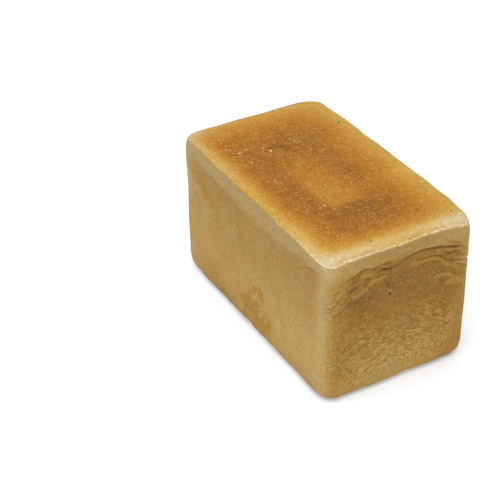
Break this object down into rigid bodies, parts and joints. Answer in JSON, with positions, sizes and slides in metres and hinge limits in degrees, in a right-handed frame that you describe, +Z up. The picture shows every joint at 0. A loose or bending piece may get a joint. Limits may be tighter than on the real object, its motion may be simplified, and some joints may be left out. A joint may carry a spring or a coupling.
{
  "type": "tin loaf",
  "caption": "Whole tin loaf: a long white bread loaf, square in section, with a flat golden-brown top, pale rounded edges and folds in the crust of its ends.",
  "frame": {"origin": "centre of the base, on the surface that the loaf stands on", "axes": "+Z up; X along the loaf's length, with the end that has the deeper folds at +X; Y across its width"},
  "size_m": [0.206, 0.12, 0.1178],
  "materials": {
    "crust": "matte baked crust: golden brown on top, pale tan on the sides, cream along the edges"
  },
  "bodies": {
    "root": {"loaf": "crust"}
  },
  "joints": []
}
